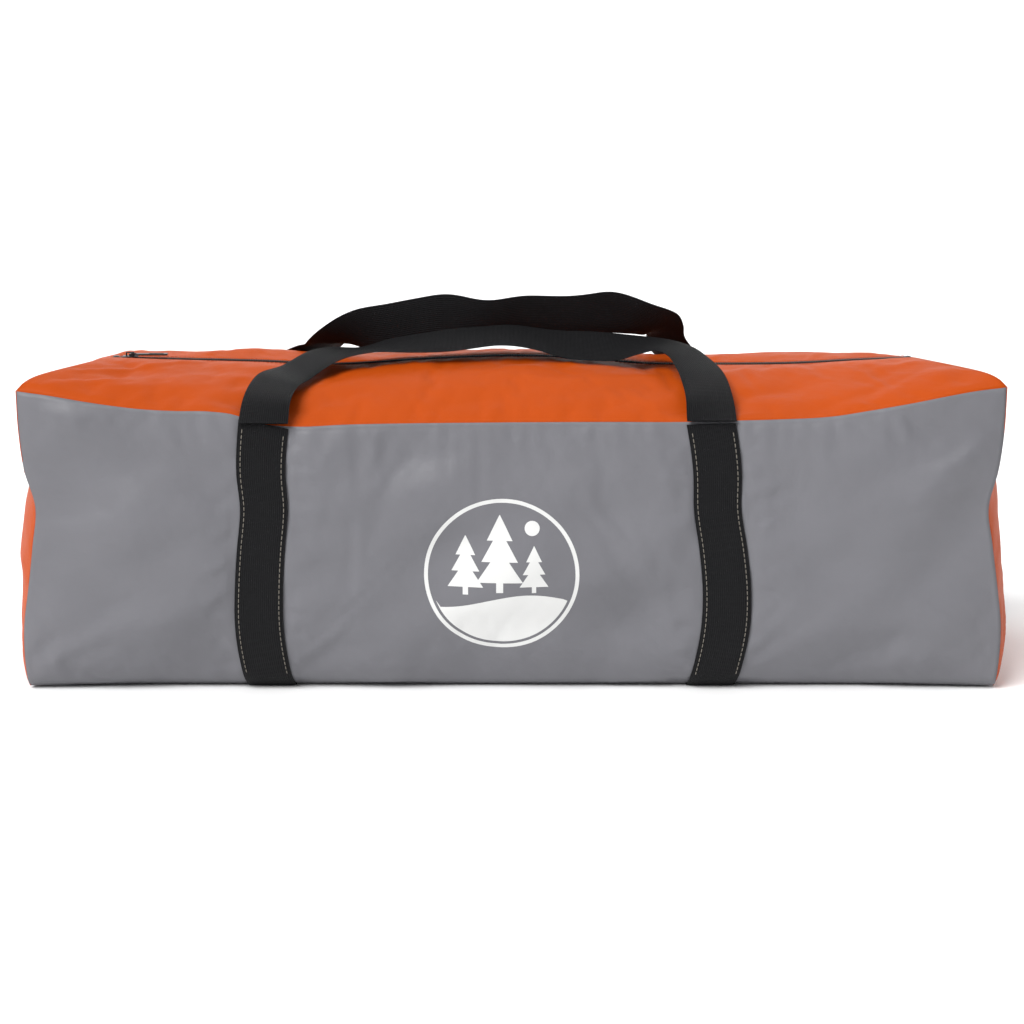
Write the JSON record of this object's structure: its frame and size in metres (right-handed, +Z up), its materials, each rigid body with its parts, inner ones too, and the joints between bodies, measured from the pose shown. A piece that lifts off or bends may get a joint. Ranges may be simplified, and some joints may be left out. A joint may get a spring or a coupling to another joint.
{
  "type": "packed tunnel tent",
  "caption": "Soft box-shaped tent bag with a zipped two-flap top, webbing straps and handle loops, holding a rolled tunnel tent, folded poles and a peg bag.",
  "frame": {"origin": "on the floor, under the middle of the bag", "axes": "+X along the bag to the right as seen from the front, -Y out of the front panel, +Z up"},
  "size_m": [0.7772, 0.238, 0.2948],
  "materials": {
    "grey_polyester": "matt woven polyester",
    "orange_polyester": "matt woven polyester",
    "black_webbing": "ribbed polypropylene webbing",
    "zip_nylon": "nylon coil on woven tape",
    "black_zinc": "black enamel on zinc",
    "flysheet_cloth": "coated ripstop polyester, slightly shiny",
    "inner_tent_cloth": "light breathable polyester",
    "peg_bag_cloth": "matt woven polyester",
    "tie_band": "narrow webbing and elastic",
    "pole_fibreglass": "dark grey wound fibreglass with metal ferrules"
  },
  "bodies": {
    "bag": {"front_panel": "grey_polyester", "back_panel": "grey_polyester", "bottom_panel": "grey_polyester", "end_panel_left": "orange_polyester", "end_panel_right": "orange_polyester", "top_corner_front_left": "orange_polyester", "top_corner_front_right": "orange_polyester", "top_corner_rear_left": "orange_polyester", "top_corner_rear_right": "orange_polyester", "zip_end_left": "zip_nylon", "zip_end_right": "zip_nylon", "strap_left": "black_webbing", "strap_right": "black_webbing", "flysheet_roll": "flysheet_cloth", "inner_tent_roll": "inner_tent_cloth", "flysheet_tie_left": "tie_band", "flysheet_tie_right": "tie_band", "inner_tent_tie_left": "tie_band", "inner_tent_tie_right": "tie_band", "pole_a_1": "pole_fibreglass", "pole_a_2": "pole_fibreglass", "pole_a_3": "pole_fibreglass", "pole_a_4": "pole_fibreglass", "pole_a_5": "pole_fibreglass", "pole_b_1": "pole_fibreglass", "pole_b_2": "pole_fibreglass", "pole_b_3": "pole_fibreglass", "pole_b_4": "pole_fibreglass", "pole_b_5": "pole_fibreglass", "pole_c_1": "pole_fibreglass", "pole_c_2": "pole_fibreglass", "pole_c_3": "pole_fibreglass", "pole_c_4": "pole_fibreglass", "pole_c_5": "pole_fibreglass", "pole_tie_a": "tie_band", "pole_tie_b": "tie_band", "pole_tie_c": "tie_band", "peg_bag": "peg_bag_cloth"},
    "lid_front": {"lid_front": "orange_polyester", "zip_half_front": "zip_nylon"},
    "lid_rear": {"lid_rear": "orange_polyester", "zip_half_rear": "zip_nylon"},
    "handle_front": {"handle_front": "black_webbing"},
    "handle_rear": {"handle_rear": "black_webbing"},
    "zip_slider": {"zip_slider": "black_zinc"},
    "zip_pull": {"zip_pull": "black_zinc"}
  },
  "joints": [
    {"name": "lid_front_hinge", "type": "hinge", "parent": "bag", "child": "lid_front", "pos_m": [0, -0.117, 0.214], "axis": [1, 0, 0], "range_deg": [0, 55]},
    {"name": "lid_rear_hinge", "type": "hinge", "parent": "bag", "child": "lid_rear", "pos_m": [0, 0.117, 0.214], "axis": [-1, 0, 0], "range_deg": [0, 55]},
    {"name": "handle_front_swing", "type": "hinge", "parent": "lid_front", "child": "handle_front", "pos_m": [0, -0.117, 0.214], "axis": [1, 0, 0], "range_deg": [0, 140]},
    {"name": "handle_rear_swing", "type": "hinge", "parent": "lid_rear", "child": "handle_rear", "pos_m": [0, 0.117, 0.214], "axis": [-1, 0, 0], "range_deg": [0, 140]},
    {"name": "zip_slide", "type": "slide", "parent": "bag", "child": "zip_slider", "axis": [1, 0, 0], "range_m": [0, 0.612]},
    {"name": "zip_pull_swing", "type": "hinge", "parent": "zip_slider", "child": "zip_pull", "pos_m": [-0.306, 0, 0.2493], "axis": [0, -1, 0], "range_deg": [0, 180]}
  ]
}
